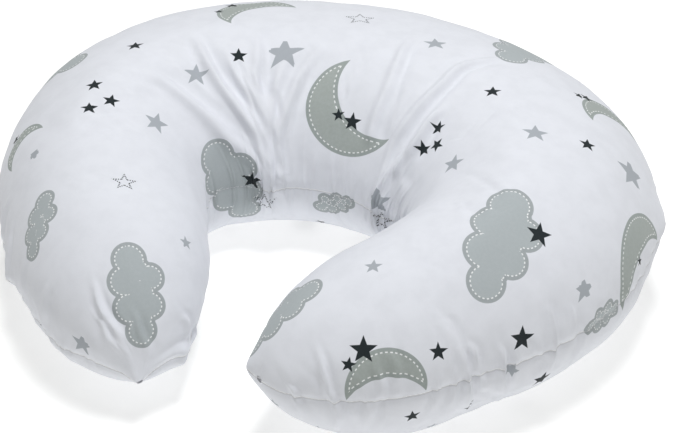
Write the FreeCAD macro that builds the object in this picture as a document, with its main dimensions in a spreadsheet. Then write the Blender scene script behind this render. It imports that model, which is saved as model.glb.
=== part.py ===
import FreeCAD, Part
import math
import os

# Nursing pillow: a C-shaped, fibre-filled cushion in a loose cotton cover.
# The pillow lies flat. Origin: on the resting face, below the middle of the
# plan outline. +X to one arm, -Y to the mouth of the C, +Z up. Millimetres.

doc = FreeCAD.newDocument("nursing_pillow")
sheet = doc.addObject("Spreadsheet::Sheet", "Dims")

ROWS = [
    # plan centreline, four tangent arcs from the middle of the back to a tip
    ("back_start_y", 128.9),
    ("back_radius", 221.0), ("back_angle", 31.4),
    ("shoulder_radius", 150.0), ("shoulder_angle", 20.0),
    ("side_radius", 134.0), ("side_angle", 70.6),
    ("arm_radius", 1207.0), ("arm_angle", 8.9),
    # half widths of the outer form along it
    ("width_back", 125.0), ("width_shoulder", 111.0), ("width_side", 86.5), ("width_arm", 79.5),
    ("tip_length", 128.0), ("tip_power", 1.87),
    # heights above and below the seam plane, which is the plane of greatest width
    ("rise_back", 98.0), ("rise_shoulder", 96.0), ("rise_side", 84.0), ("rise_arm", 74.0),
    ("drop_all", 76.0), ("seam_level", 70.0),
    # layers
    ("cover_cloth", 1.0), ("case_gap", 6.0), ("case_cloth", 0.8), ("fill_gap", 0.3),
    ("thread_size", 0.6),
    # zip in the outer back seam
    ("zip_half_angle", 28.0), ("slider_park", 25.4),
    ("zip_window", 11.4), ("tape_half_angle", 29.4), ("tape_width", 12.0), ("tape_cloth", 0.5), ("tape_inset", 2.75),
    ("coil_half_angle", 26.9), ("coil_gap", 1.3), ("coil_width", 2.5), ("coil_rise", 1.6),
    ("slider_length", 11.0), ("slider_width", 8.6), ("slider_plate", 1.1), ("slider_lift", 0.25),
    ("bridge_width", 0.8), ("flange_width", 0.7),
    ("bail_length", 3.4), ("bail_width", 2.6), ("pivot_lift", 1.9), ("bail_bore", 0.75), ("pivot_radius", 0.55),
    ("tab_length", 24.0), ("tab_width", 6.0), ("tab_plate", 1.4), ("tab_hole", 1.5),
    ("stop_angle", 0.45),
    # folded label in the outer seam, past the closed end of the zip
    ("label_angle", 32.2), ("label_width", 20.0), ("label_out", 14.0), ("label_tuck", 3.0),
]
for i, (name, value) in enumerate(ROWS):
    sheet.set("A%d" % (i + 1), name)
    sheet.set("B%d" % (i + 1), repr(value))
    sheet.setAlias("B%d" % (i + 1), name)
doc.recompute()
D = {name: float(sheet.get(name)) for name, value in ROWS}
V = FreeCAD.Vector


def expr(obj, prop, text):
    obj.setExpression(prop, text)


# ---------------------------------------------------------------- centreline
def centreline(n):
    """Points of one half: arc length, x, y, heading, from the back to the tip."""
    x, y, h, s = 0.0, D["back_start_y"], 0.0, 0.0
    pts = [(0.0, x, y, h)]
    for R, T in ((D["back_radius"], D["back_angle"]), (D["shoulder_radius"], D["shoulder_angle"]),
                 (D["side_radius"], D["side_angle"]), (D["arm_radius"], D["arm_angle"])):
        cx, cy = x + R * math.sin(h), y - R * math.cos(h)
        for k in range(1, n + 1):
            a = h - math.radians(T) * k / n
            pts.append((s + R * math.radians(T) * k / n, cx - R * math.sin(a), cy + R * math.cos(a), a))
        h -= math.radians(T)
        s += R * math.radians(T)
        x, y = cx - R * math.sin(h), cy + R * math.cos(h)
    return pts


LINE = centreline(240)
LENGTH = LINE[-1][0]
BACK = D["back_radius"] * math.radians(D["back_angle"])


def at(s):
    for a, b in zip(LINE, LINE[1:]):
        if b[0] >= s - 1e-9:
            k = (s - a[0]) / (b[0] - a[0])
            return tuple(a[i] + k * (b[i] - a[i]) for i in (1, 2, 3))
    return LINE[-1][1:]


def smooth(keys, s):
    """Monotone cubic through (position, value) keys."""
    n = len(keys)
    hk = [keys[i + 1][0] - keys[i][0] for i in range(n - 1)]
    dk = [(keys[i + 1][1] - keys[i][1]) / hk[i] for i in range(n - 1)]
    m = [0.0] * n
    for i in range(1, n - 1):
        if dk[i - 1] * dk[i] > 0:
            w1, w2 = 2 * hk[i] + hk[i - 1], hk[i] + 2 * hk[i - 1]
            m[i] = (w1 + w2) / (w1 / dk[i - 1] + w2 / dk[i])
    s = min(max(s, keys[0][0]), keys[-1][0])
    for i in range(n - 1):
        if s <= keys[i + 1][0] + 1e-9:
            u = (s - keys[i][0]) / hk[i]
            return ((2 * u**3 - 3 * u**2 + 1) * keys[i][1] + (u**3 - 2 * u**2 + u) * hk[i] * m[i]
                    + (-2 * u**3 + 3 * u**2) * keys[i + 1][1] + (u**3 - u**2) * hk[i] * m[i + 1])
    return keys[-1][1]


REST = LENGTH - BACK
KNOTS = [0.0, BACK, BACK + REST * 0.25, BACK + REST * 0.55, LENGTH - D["tip_length"] * 0.9, LENGTH]
WIDE = [D["width_back"]] * 2 + [D["width_shoulder"], D["width_side"], D["width_arm"], D["width_arm"]]
TALL = [D["rise_back"]] * 2 + [D["rise_shoulder"], D["rise_side"], D["rise_arm"], D["rise_arm"]]


def section(s):
    """Half width, height above and depth below the seam plane at arc length s."""
    w, r = smooth(list(zip(KNOTS, WIDE)), s), smooth(list(zip(KNOTS, TALL)), s)
    f = min(max((LENGTH - s) / D["tip_length"], 0.0), 1.0)
    c = (1 - (1 - f) ** D["tip_power"]) ** (1 / D["tip_power"])
    return w * c, r * c, D["drop_all"] * c


# stations: even along the back, closer together towards the tip
half = [BACK * k / 4.0 for k in range(5)]
mid = LENGTH - D["tip_length"]
half += [BACK + (mid - BACK) * k / 9.0 for k in range(1, 10)]
half += [LENGTH - D["tip_length"] * (1 - math.sin(math.radians(a))) for a in (14, 28, 41, 53, 63, 71, 77.5)]
SIDES = [(-1, s) for s in reversed(half[1:])] + [(1, s) for s in half]


def half_ring(w, r, up):
    """Half ellipse in the local x, y plane, above or below the local x axis."""
    if w >= r:
        e = Part.Ellipse(V(w, 0, 0), V(0, r, 0), V(0, 0, 0))
        a = (0.0, math.pi) if up else (math.pi, 2 * math.pi)
    else:
        e = Part.Ellipse(V(0, r, 0), V(-w, 0, 0), V(0, 0, 0))
        a = (-math.pi / 2, math.pi / 2) if up else (math.pi / 2, 3 * math.pi / 2)
    return Part.ArcOfEllipse(e, *a).toShape()


def form(tag, inset, up_side, floor=None, reach=0.0):
    """One half of the pillow's form, above or below the seam plane, or with
    up_side None the whole of it.

    inset is the distance in from the outside of the cover. With reach, the
    half runs on straight past the seam plane by that much, as a cutting tool.
    The lower half is cut flat at the level floor."""
    rings = []
    sign = 1.0 if up_side else -1.0
    gap = 0.0 if up_side is None else D["thread_size"] / 2 * sign
    for k, (side, s) in enumerate(SIDES):
        w, up, down = section(s)
        # towards the tip the stations move back along the arm with the inset
        x, y, a = at(s - inset * max(0.0, (s - mid) / (LENGTH - mid)))
        nx, ny = -math.sin(a), math.cos(a)
        if side < 0:
            x, nx = -x, -nx
        w -= inset
        arc = half_ring(w, (up if up_side else down) - inset, bool(up_side))
        arc.Placement.Base = V(0, gap, 0)
        if reach:
            pts = [V(-sign * w, gap, 0), V(-sign * w, gap - sign * reach, 0),
                   V(sign * w, gap - sign * reach, 0), V(sign * w, gap, 0)]
        else:
            pts = [V(-sign * w, gap, 0), V(sign * w, gap, 0)]
        ring = doc.addObject("Part::Feature", "%s_ring_%02d" % (tag, k))
        if up_side is None:
            ring.Shape = Part.Wire([half_ring(w, up - inset, True), arc])
        else:
            ring.Shape = Part.Wire([arc] + [Part.LineSegment(p, q).toShape() for p, q in zip(pts, pts[1:])])
        tx, ty = ny, -nx
        ring.Placement = FreeCAD.Placement(FreeCAD.Matrix(
            nx, 0, tx, x, ny, 0, ty, y, 0, 1, 0, D["seam_level"], 0, 0, 0, 1))
        rings.append(ring)
    loft = doc.addObject("Part::Loft", tag + "_loft")
    loft.Sections = rings
    loft.Solid, loft.Ruled, loft.Closed = True, False, False
    if floor is None:
        return loft
    box = doc.addObject("Part::Box", tag + "_above_floor")
    box.Length, box.Width, box.Height = 800, 800, 300
    box.Placement.Base = V(-400, -400, 0)
    expr(box, "Placement.Base.z", floor)
    cut = doc.addObject("Part::Common", tag)
    cut.Base, cut.Tool = loft, box
    return cut


def boolean(kind, tag, base, tool):
    b = doc.addObject("Part::" + kind, tag)
    if kind in ("Cut", "Common"):
        b.Base, b.Tool = base, tool
    else:
        b.Shapes = [base] + list(tool)
    return b


def slab(tag, low, high):
    """Everything between two levels, given as expressions."""
    box = doc.addObject("Part::Box", tag)
    box.Length, box.Width = 800, 800
    box.Placement.Base = V(-400, -400, 0)
    expr(box, "Placement.Base.z", low)
    expr(box, "Height", "(%s) - (%s)" % (high, low))
    return box


ZIP_X, ZIP_Y = 0.0, D["back_start_y"] - D["back_radius"]
RIM = "(Dims.back_radius + Dims.width_back)"


def arc_band(tag, r_in, r_out, low, high, first, last):
    """Curved band about the centre of the back arc. Angles are degrees from
    the middle of the back, positive towards -X; all values are expressions."""
    solid = doc.addObject("Part::Cylinder", tag + "_disc")
    expr(solid, "Radius", r_out)
    expr(solid, "Height", "(%s) - (%s)" % (high, low))
    expr(solid, "Angle", "(%s) - (%s)" % (last, first))
    hole = doc.addObject("Part::Cylinder", tag + "_hole")
    expr(hole, "Radius", r_in)
    expr(hole, "Height", "(%s) - (%s) + 2" % (high, low))
    for c, shift in ((solid, "0"), (hole, "1")):
        expr(c, "Placement.Base.x", "0")
        expr(c, "Placement.Base.y", "Dims.back_start_y - Dims.back_radius")
        expr(c, "Placement.Base.z", "(%s) - %s" % (low, shift))
    solid.Placement.Rotation = FreeCAD.Rotation(V(0, 0, 1), 0)
    expr(solid, "Placement.Rotation.Angle", "90 + (%s)" % first)
    solid.Placement.Rotation = FreeCAD.Rotation(V(0, 0, 1), 90)
    return boolean("Cut", tag, solid, hole)


def block(tag, x0, x1, y0, y1, z0, z1):
    """Box between expressions: x outward from the zip's centre line, y along it."""
    b = doc.addObject("Part::Box", tag)
    expr(b, "Length", "(%s) - (%s)" % (x1, x0))
    expr(b, "Width", "(%s) - (%s)" % (y1, y0))
    expr(b, "Height", "(%s) - (%s)" % (z1, z0))
    expr(b, "Placement.Base.x", x0)
    expr(b, "Placement.Base.y", y0)
    expr(b, "Placement.Base.z", z0)
    return b


NODES = []


def node(obj, label):
    obj.Label = label
    NODES.append((label, obj))
    return obj


# --------------------------------------------------------------------- cover
SEAM = "Dims.seam_level"
window = arc_band("zip_window_band", RIM + " - 8", RIM + " + 8", SEAM + " - Dims.zip_window / 2",
                  SEAM + " + Dims.zip_window / 2", "-Dims.zip_half_angle", "Dims.zip_half_angle")


def layer(tag, outside, thick, floor):
    """Top panel, bottom panel and the ring of thread between them."""
    low, high = "%s" % floor, "%s + %s" % (floor, thick)
    o, i = D[outside] if outside else 0.0, (D[outside] if outside else 0.0) + D[thick.split(".")[1]]
    top = boolean("Cut", tag + "_top", form(tag + "_top_out", o, True), form(tag + "_top_in", i, True, None, 3.0))
    low_half = boolean("Cut", tag + "_bottom", form(tag + "_low_out", o, False, low),
                       form(tag + "_low_in", i, False, high, 3.0))
    doc.recompute()
    edge = [f for f in top.Shape.Faces if abs(f.CenterOfMass.z - D["seam_level"] - D["thread_size"] / 2) < 1e-3
            and f.BoundBox.ZLength < 1e-3]
    ring = doc.addObject("Part::Feature", tag + "_ring")
    ring.Shape = edge[0].extrude(V(0, 0, -D["thread_size"]))
    return top, low_half, ring


cover_top, cover_low, cover_ring = layer("cover", None, "Dims.cover_cloth", "0")
node(boolean("Cut", "top_panel", cover_top, window), "cover_top_panel")
node(boolean("Cut", "bottom_panel", cover_low, window), "cover_bottom_panel")

# label: a folded tape caught in the seam, standing out of it
label = block("label_tape", "-Dims.label_tuck", "Dims.label_out", "-Dims.label_width / 2", "Dims.label_width / 2",
              SEAM + " - Dims.thread_size / 2", SEAM + " + Dims.thread_size / 2")
label_at = doc.addObject("Part::Compound", "label_place")
label_at.Links = [label]


def round_the_back(obj, angle, radius):
    """Put an object made about the local origin on the back arc."""
    a = math.radians(90.0 + angle)
    obj.Placement = FreeCAD.Placement(V(ZIP_X + radius * math.cos(a), ZIP_Y + radius * math.sin(a), 0),
                                      FreeCAD.Rotation(V(0, 0, 1), 90.0 + angle))


rim = D["back_radius"] + D["width_back"]
round_the_back(label_at, D["label_angle"], rim)
node(label_at, "care_label")
ring = boolean("Cut", "seam_ring", cover_ring, window)
node(boolean("Cut", "seam_thread", ring, label_at), "cover_seam_thread")

# ----------------------------------------------------------------------- zip
T_OUT = RIM + " - Dims.tape_inset"
T_IN = T_OUT + " - Dims.tape_cloth"
node(arc_band("tape_up", T_IN, T_OUT, SEAM + " + Dims.coil_gap / 2", SEAM + " + Dims.tape_width",
              "-Dims.tape_half_angle", "Dims.tape_half_angle"), "zip_tape_upper")
node(arc_band("tape_low", T_IN, T_OUT, SEAM + " - Dims.tape_width", SEAM + " - Dims.coil_gap / 2",
              "-Dims.tape_half_angle", "Dims.tape_half_angle"), "zip_tape_lower")
C_OUT = T_OUT + " + Dims.coil_rise"
node(arc_band("coil_up", T_OUT, C_OUT, SEAM + " + Dims.coil_gap / 2", SEAM + " + Dims.coil_gap / 2 + Dims.coil_width",
              "-Dims.coil_half_angle", "Dims.coil_half_angle"), "zip_coil_upper")
node(arc_band("coil_low", T_OUT, C_OUT, SEAM + " - Dims.coil_gap / 2 - Dims.coil_width", SEAM + " - Dims.coil_gap / 2",
              "-Dims.coil_half_angle", "Dims.coil_half_angle"), "zip_coil_lower")
# at the end where the slider parks, one clamp on each coil; at the other, one clamp across both
stop_a = arc_band("stop_a", T_OUT, C_OUT + " + 0.2", SEAM + " + Dims.coil_gap / 2", SEAM + " + Dims.coil_gap / 2 + Dims.coil_width",
                  "-Dims.coil_half_angle - Dims.stop_angle", "-Dims.coil_half_angle")
stop_b = arc_band("stop_b", T_OUT, C_OUT + " + 0.2", SEAM + " - Dims.coil_gap / 2 - Dims.coil_width", SEAM + " - Dims.coil_gap / 2",
                  "-Dims.coil_half_angle - Dims.stop_angle", "-Dims.coil_half_angle")
stops = doc.addObject("Part::Compound", "stops_open_end")
stops.Links = [stop_a, stop_b]
node(stops, "zip_top_stops")
node(arc_band("stop_c", T_OUT, C_OUT + " + 0.2", SEAM + " - Dims.coil_gap / 2 - Dims.coil_width",
              SEAM + " + Dims.coil_gap / 2 + Dims.coil_width", "Dims.coil_half_angle",
              "Dims.coil_half_angle + Dims.stop_angle"), "zip_bottom_stop")

# slider: local x = 0 is the outline of the pillow, x outward, y along the zip
S_IN = "-Dims.tape_inset - Dims.tape_cloth - Dims.slider_lift"
S_OUT = "-Dims.tape_inset + Dims.coil_rise + Dims.slider_lift"
front = block("slider_front", S_OUT, S_OUT + " + Dims.slider_plate", "-Dims.slider_length / 2", "Dims.slider_length / 2",
              "-Dims.slider_width / 2", "Dims.slider_width / 2")
rear = block("slider_rear", S_IN + " - Dims.slider_plate", S_IN, "-Dims.slider_length / 2", "Dims.slider_length / 2",
             "-Dims.slider_width / 2", "Dims.slider_width / 2")
web = block("slider_bridge", S_IN + " - Dims.slider_plate / 2", S_OUT + " + Dims.slider_plate / 2",
            "-Dims.slider_length / 2", "-Dims.slider_length / 2 + 2.5", "-Dims.bridge_width / 2", "Dims.bridge_width / 2")
flange_a = block("slider_flange_a", "-Dims.tape_inset + 0.35", S_OUT + " + Dims.slider_plate / 2", "-Dims.slider_length / 2 + 1",
                 "Dims.slider_length / 2", "Dims.slider_width / 2 - Dims.flange_width", "Dims.slider_width / 2")
flange_b = block("slider_flange_b", "-Dims.tape_inset + 0.35", S_OUT + " + Dims.slider_plate / 2", "-Dims.slider_length / 2 + 1",
                 "Dims.slider_length / 2", "-Dims.slider_width / 2", "-Dims.slider_width / 2 + Dims.flange_width")
PIVOT = S_OUT + " + Dims.slider_plate + Dims.pivot_lift"
bail = block("slider_bail", S_OUT + " + Dims.slider_plate / 2", PIVOT, "-Dims.bail_length / 2", "Dims.bail_length / 2",
             "-Dims.bail_width / 2", "Dims.bail_width / 2")
crown = doc.addObject("Part::Cylinder", "slider_bail_crown")
expr(crown, "Radius", "Dims.bail_length / 2")
expr(crown, "Height", "Dims.bail_width")
expr(crown, "Placement.Base.x", PIVOT)
expr(crown, "Placement.Base.z", "-Dims.bail_width / 2")
bore = doc.addObject("Part::Cylinder", "slider_bail_bore")
expr(bore, "Radius", "Dims.bail_bore")
expr(bore, "Height", "Dims.bail_width + 4")
expr(bore, "Placement.Base.x", PIVOT)
expr(bore, "Placement.Base.z", "-Dims.bail_width / 2 - 2")
metal = boolean("MultiFuse", "slider_metal", front, [rear, web, flange_a, flange_b, bail, crown])
slider = boolean("Cut", "slider_body", metal, bore)

# pull tab: two ears, a pin through the bail, and a flat plate with a hole
arm_a = block("tab_ear_a", PIVOT + " - Dims.tab_plate / 2", PIVOT + " + Dims.tab_plate / 2", "-Dims.tab_plate / 2", "3.2",
              "Dims.bail_width / 2 + 0.3", "Dims.tab_width / 2")
arm_b = block("tab_ear_b", PIVOT + " - Dims.tab_plate / 2", PIVOT + " + Dims.tab_plate / 2", "-Dims.tab_plate / 2", "3.2",
              "-Dims.tab_width / 2", "-Dims.bail_width / 2 - 0.3")
plate = block("tab_plate", PIVOT + " - Dims.tab_plate / 2", PIVOT + " + Dims.tab_plate / 2", "2.4",
              "Dims.tab_length - Dims.tab_width / 2", "-Dims.tab_width / 2", "Dims.tab_width / 2")
nose = doc.addObject("Part::Cylinder", "tab_nose")
expr(nose, "Radius", "Dims.tab_width / 2")
expr(nose, "Height", "Dims.tab_plate")
nose.Placement.Rotation = FreeCAD.Rotation(V(0, 1, 0), 90)
expr(nose, "Placement.Base.x", PIVOT + " - Dims.tab_plate / 2")
expr(nose, "Placement.Base.y", "Dims.tab_length - Dims.tab_width / 2")
eye = doc.addObject("Part::Cylinder", "tab_eye")
expr(eye, "Radius", "Dims.tab_hole")
expr(eye, "Height", "Dims.tab_plate + 2")
eye.Placement.Rotation = FreeCAD.Rotation(V(0, 1, 0), 90)
expr(eye, "Placement.Base.x", PIVOT + " - Dims.tab_plate / 2 - 1")
expr(eye, "Placement.Base.y", "Dims.tab_length - Dims.tab_width / 2")
pin = doc.addObject("Part::Cylinder", "tab_pin")
expr(pin, "Radius", "Dims.pivot_radius")
expr(pin, "Height", "Dims.tab_width")
expr(pin, "Placement.Base.x", PIVOT)
expr(pin, "Placement.Base.z", "-Dims.tab_width / 2")
tab_metal = boolean("MultiFuse", "tab_metal", arm_a, [arm_b, plate, nose, pin])
tab = boolean("Cut", "pull_tab", tab_metal, eye)
for piece, tag, name in ((slider, "slider_place", "zip_slider_body"), (tab, "tab_place", "zip_pull_tab")):
    put = doc.addObject("Part::Compound", tag)
    put.Links = [piece]
    round_the_back(put, -D["slider_park"], rim)
    put.Placement.Base.z = D["seam_level"]
    node(put, name)

# -------------------------------------------------- inner case and its filling
case_top, case_low, case_ring = layer("case", "case_gap", "Dims.case_cloth", "Dims.cover_cloth + Dims.fill_gap")
node(case_top, "inner_case_top_panel")
node(case_low, "inner_case_bottom_panel")
node(case_ring, "inner_case_seam_thread")
deep = D["case_gap"] + D["case_cloth"] + D["fill_gap"]
fill = form("fill", deep, None, "Dims.cover_cloth + 2 * Dims.fill_gap + Dims.case_cloth")
node(fill, "fibre_filling")

doc.recompute()
bad = []
for o in doc.Objects:
    if any(w in ("Invalid", "Error") for w in o.State):
        bad.append("%s: %s" % (o.Name, o.State))
for name, o in NODES:
    s = o.Shape
    if s.isNull() or not s.isValid() or not s.Solids or s.Volume <= 0:
        bad.append("%s: null or invalid shape" % name)
if bad:
    raise RuntimeError("; ".join(bad))

os.makedirs("parts", exist_ok=True)
for name, o in NODES:
    o.Shape.exportStep(os.path.join("parts", name + ".step"))
    b = o.Shape.BoundBox
    print("%-26s solids %d volume %10.1f  x %.1f..%.1f  y %.1f..%.1f  z %.2f..%.2f" % (
        name, len(o.Shape.Solids), o.Shape.Volume, b.XMin, b.XMax, b.YMin, b.YMax, b.ZMin, b.ZMax))
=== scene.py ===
import bpy
import math
import numpy as np
from mathutils import Matrix, Vector


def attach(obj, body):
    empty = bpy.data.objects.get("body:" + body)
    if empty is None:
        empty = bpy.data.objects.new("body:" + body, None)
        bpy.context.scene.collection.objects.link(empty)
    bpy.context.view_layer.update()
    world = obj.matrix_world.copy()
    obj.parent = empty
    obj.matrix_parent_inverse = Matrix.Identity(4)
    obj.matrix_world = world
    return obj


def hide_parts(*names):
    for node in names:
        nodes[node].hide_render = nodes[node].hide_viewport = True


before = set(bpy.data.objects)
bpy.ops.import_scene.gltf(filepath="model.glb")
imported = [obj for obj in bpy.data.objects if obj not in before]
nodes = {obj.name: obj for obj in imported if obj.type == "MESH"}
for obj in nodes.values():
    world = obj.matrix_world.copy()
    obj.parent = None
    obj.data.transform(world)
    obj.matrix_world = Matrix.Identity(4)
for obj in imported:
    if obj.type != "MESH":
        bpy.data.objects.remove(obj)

# ------------------------------------------------------------------ the form
# Metres, in the frame of the CAD model. s runs along the middle line of the C,
# 0 at the middle of the back, positive towards +X; r runs round each section.
TAU = 2 * np.pi
ARCS = ((0.221, 31.4), (0.150, 20.0), (0.134, 70.6), (1.207, 8.9))
START_Y, SEAM_Z, TIP, POWER = 0.1289, 0.070, 0.128, 1.87
LENGTH = sum(r * np.radians(a) for r, a in ARCS)
BACK = ARCS[0][0] * np.radians(ARCS[0][1])


def centre(s):
    """Point and heading of the middle line at the (signed) arc length s."""
    q = np.abs(s)
    x, y, h = np.zeros_like(q), np.zeros_like(q), np.zeros_like(q)
    x0, y0, h0, s0 = 0.0, START_Y, 0.0, 0.0
    for i, (R, T) in enumerate(ARCS):
        end = s0 + R * np.radians(T)
        cx, cy = x0 + R * np.sin(h0), y0 - R * np.cos(h0)
        on = (q >= s0) & ((q <= end) | (i == len(ARCS) - 1))
        a = h0 - (q - s0) / R
        x = np.where(on, cx - R * np.sin(a), x)
        y = np.where(on, cy + R * np.cos(a), y)
        h = np.where(on, a, h)
        x0, y0 = cx - R * np.sin(h0 - np.radians(T)), cy + R * np.cos(h0 - np.radians(T))
        h0, s0 = h0 - np.radians(T), end
    side = np.where(s < 0, -1.0, 1.0)
    return x * side, y, -np.sin(h) * side, np.cos(h)  # point, outward normal in plan


def keyed(keys, values, q):
    """Smooth monotone curve through keyed values."""
    k, v = np.array(keys, float), np.array(values, float)
    hk = np.diff(k)
    dk = np.diff(v) / hk
    m = np.zeros_like(v)
    for i in range(1, len(v) - 1):
        if dk[i - 1] * dk[i] > 0:
            w1, w2 = 2 * hk[i] + hk[i - 1], hk[i] + 2 * hk[i - 1]
            m[i] = (w1 + w2) / (w1 / dk[i - 1] + w2 / dk[i])
    q = np.clip(q, k[0], k[-1])
    i = np.clip(np.searchsorted(k, q, side="right") - 1, 0, len(hk) - 1)
    u = (q - k[i]) / hk[i]
    return ((2 * u**3 - 3 * u**2 + 1) * v[i] + (u**3 - 2 * u**2 + u) * hk[i] * m[i]
            + (-2 * u**3 + 3 * u**2) * v[i + 1] + (u**3 - u**2) * hk[i] * m[i + 1])


REST = LENGTH - BACK
KNOTS = [0.0, BACK, BACK + REST * 0.25, BACK + REST * 0.55, LENGTH - TIP * 0.9, LENGTH]


def sizes(s):
    q = np.abs(s)
    w = keyed(KNOTS, [0.125, 0.125, 0.111, 0.0865, 0.0795, 0.0795], q)
    up = keyed(KNOTS, [0.098, 0.098, 0.096, 0.084, 0.074, 0.074], q)
    f = np.clip((LENGTH - q) / TIP, 0.0, 1.0)
    c = (1 - (1 - f) ** POWER) ** (1 / POWER)
    return w, up, np.full_like(w, 0.076), c


def ring(w, up, down, c, n, q_up=1.9, q_down=2.25):
    """Section: n points over the top from the outer to the inner seam, then n under."""
    out = []
    for hgt, q, sg in ((up, q_up, 1.0), (down, q_down, -1.0)):
        t = np.linspace(0, np.pi, 400)
        x = np.sign(np.cos(t)) * np.abs(np.cos(t)) ** (2 / q) * w * c
        z = np.abs(np.sin(t)) ** (2 / q) * hgt * c * sg
        d = np.concatenate([[0], np.cumsum(np.hypot(np.diff(x), np.diff(z)))])
        g = np.linspace(0, d[-1], n + 1)
        X, Z = np.interp(g, d, x), np.interp(g, d, z)
        if sg < 0:
            X, Z, g = X[::-1], Z[::-1], g[::-1]
        out.append((X[:-1], Z[:-1], (g[:-1] - d[-1] / 2)))
    # r position measured across from the crown: outer side positive
    return (np.concatenate([out[0][0], out[1][0]]), np.concatenate([out[0][1], out[1][1]]),
            np.concatenate([-out[0][2], -out[1][2]]))


def stations(step):
    mid = LENGTH - TIP
    n = int(round(mid / step))
    a = [mid * k / n for k in range(n + 1)]
    m = int(round(TIP * 1.45 / step))
    b = [LENGTH - TIP * (1 - np.sin(np.pi / 2 * k / m)) for k in range(1, m)]
    h = np.array(a + b)
    return np.concatenate([-h[:0:-1], h])


def seam_shift(s):
    """Share of the way round by which the seams lie lower on the -X arm."""
    t = np.clip((-s - 0.27) / 0.19, 0, 1)
    return 0.050 * t * t * (3 - 2 * t)


def tip_drop(s, c):
    """How far the -X tip hangs towards the floor."""
    return np.where(s < 0, 0.026 * np.clip(1 - c, 0, 1) ** 1.4, 0.0)


def shifted(a, k):
    """A ring sampled again so that both seam points lie lower."""
    m = len(a) // 2
    j = np.arange(2 * m)
    d = k * 2 * m
    q = np.where(j <= m, -d + (m + 2 * d) * j / m, (m + d) + (m - 2 * d) * (j - m) / m)
    return np.interp(q, np.arange(-2 * m, 4 * m), np.concatenate([a, a, a]))


def grid(step=0.0048, n=62):
    """Rows of points along the C, short of the tips; returns point, s, across."""
    S = stations(step)
    cx, cy, nx, ny = centre(S)
    w, up, down, c = sizes(S)
    P = np.zeros((len(S), 2 * n, 3))
    A = np.zeros((len(S), 2 * n))
    for i in range(len(S)):
        X, Z, g = ring(w[i], up[i], down[i], c[i], n)
        k = seam_shift(S[i])
        X, Z = shifted(X, k), shifted(Z, k) - tip_drop(S[i], c[i])
        P[i, :, 0] = cx[i] + nx[i] * X
        P[i, :, 1] = cy[i] + ny[i] * X
        P[i, :, 2] = SEAM_Z + Z
        # across: distance in the cloth from the crown, outer side positive
        dz = np.hypot(np.diff(np.append(X, X[0])), np.diff(np.append(Z, Z[0])))
        do = np.concatenate([[0], np.cumsum(dz)])
        full = do[-1]
        lift = k * full
        A[i, :n] = (do[n] - 2 * lift) / 2 + lift - do[:n]
        A[i, n:] = do[n:2 * n] - do[n] - (full - do[n]) / 2
    return S, P, A


# -------------------------------------------------------------------- camera
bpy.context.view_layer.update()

AZ, EL, DIST, LENS = 22.1559, 34.981, 1.6956, 2.9374 * 36
AIM = Vector((0.0243, -0.0208, 0.07))
cam_data = bpy.data.cameras.new("camera")
cam_data.sensor_width = 36
cam_data.lens = LENS
cam_data.clip_start, cam_data.clip_end = 0.05, 30
cam = bpy.data.objects.new("camera", cam_data)
bpy.context.scene.collection.objects.link(cam)
a, e = math.radians(AZ), math.radians(EL)
away = Vector((math.sin(a) * math.cos(e), -math.cos(a) * math.cos(e), math.sin(e)))
cam.location = AIM + away * DIST
cam.rotation_mode = "QUATERNION"
cam.rotation_quaternion = (-away).to_track_quat("-Z", "Y")
bpy.context.scene.camera = cam

# --------------------------------------------------------------------- grid
RIM = 0.346
ZIP_C = (0.0, START_Y - 0.221)
ZIP_ANGLE = math.radians(28.0)
S, P0, A0 = grid()
N2 = P0.shape[1]
N = N2 // 2


def resample(G, closed_cols=True):
    """Twice as many rows and columns, by Catmull-Rom."""
    def up(a, axis, closed):
        a = np.moveaxis(a, axis, 0)
        n = len(a)
        if closed:
            m1, p1, p2 = np.roll(a, 1, 0), np.roll(a, -1, 0), np.roll(a, -2, 0)
            midp = (-m1 + 9 * a + 9 * p1 - p2) / 16
            out = np.empty((2 * n,) + a.shape[1:])
            out[0::2], out[1::2] = a, midp
        else:
            pad = np.concatenate([2 * a[:1] - a[1:2], a, 2 * a[-1:] - a[-2:-1]])
            midp = (-pad[:-3] + 9 * pad[1:-2] + 9 * pad[2:-1] - pad[3:]) / 16
            out = np.empty((2 * n - 1,) + a.shape[1:])
            out[0::2], out[1::2] = a, midp
        return np.moveaxis(out, 0, axis)
    return up(up(G, 0, False), 1, closed_cols)


def normals(G):
    du = np.gradient(G, axis=0)
    dv = (np.roll(G, -1, 1) - np.roll(G, 1, 1)) / 2
    n = np.cross(dv, du)
    n /= np.linalg.norm(n, axis=-1, keepdims=True) + 1e-12
    mid = G.mean(1, keepdims=True)
    flip = np.sign(((G - mid) * n).sum(-1).mean())
    return n * flip


def mesh_object(name, verts, faces, smooth=True):
    me = bpy.data.meshes.new(name)
    me.from_pydata([tuple(v) for v in verts], [], faces)
    me.validate()
    if smooth:
        me.polygons.foreach_set("use_smooth", [True] * len(me.polygons))
    o = bpy.data.objects.new(name, me)
    bpy.context.scene.collection.objects.link(o)
    return o


def closed_faces(rows, cols):
    """Quads of a grid closed round, with a pole vertex at each end of the rows."""
    F = []
    for i in range(rows - 1):
        for j in range(cols):
            k = (j + 1) % cols
            F.append((i * cols + j, i * cols + k, (i + 1) * cols + k, (i + 1) * cols + j))
    p0, p1 = rows * cols, rows * cols + 1
    for j in range(cols):
        k = (j + 1) % cols
        F.append((p0, k, j))
        F.append((p1, (rows - 1) * cols + j, (rows - 1) * cols + k))
    return F


def poles():
    out = []
    for s in (-LENGTH, LENGTH):
        x, y, _, _ = centre(np.array([s]))
        out.append((float(x[0]), float(y[0]), SEAM_Z - float(tip_drop(np.array(s), np.array(0.0)))))
    return np.array(out)


P0[..., 2] = np.maximum(P0[..., 2], 0.0)
POLES = poles()

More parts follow.
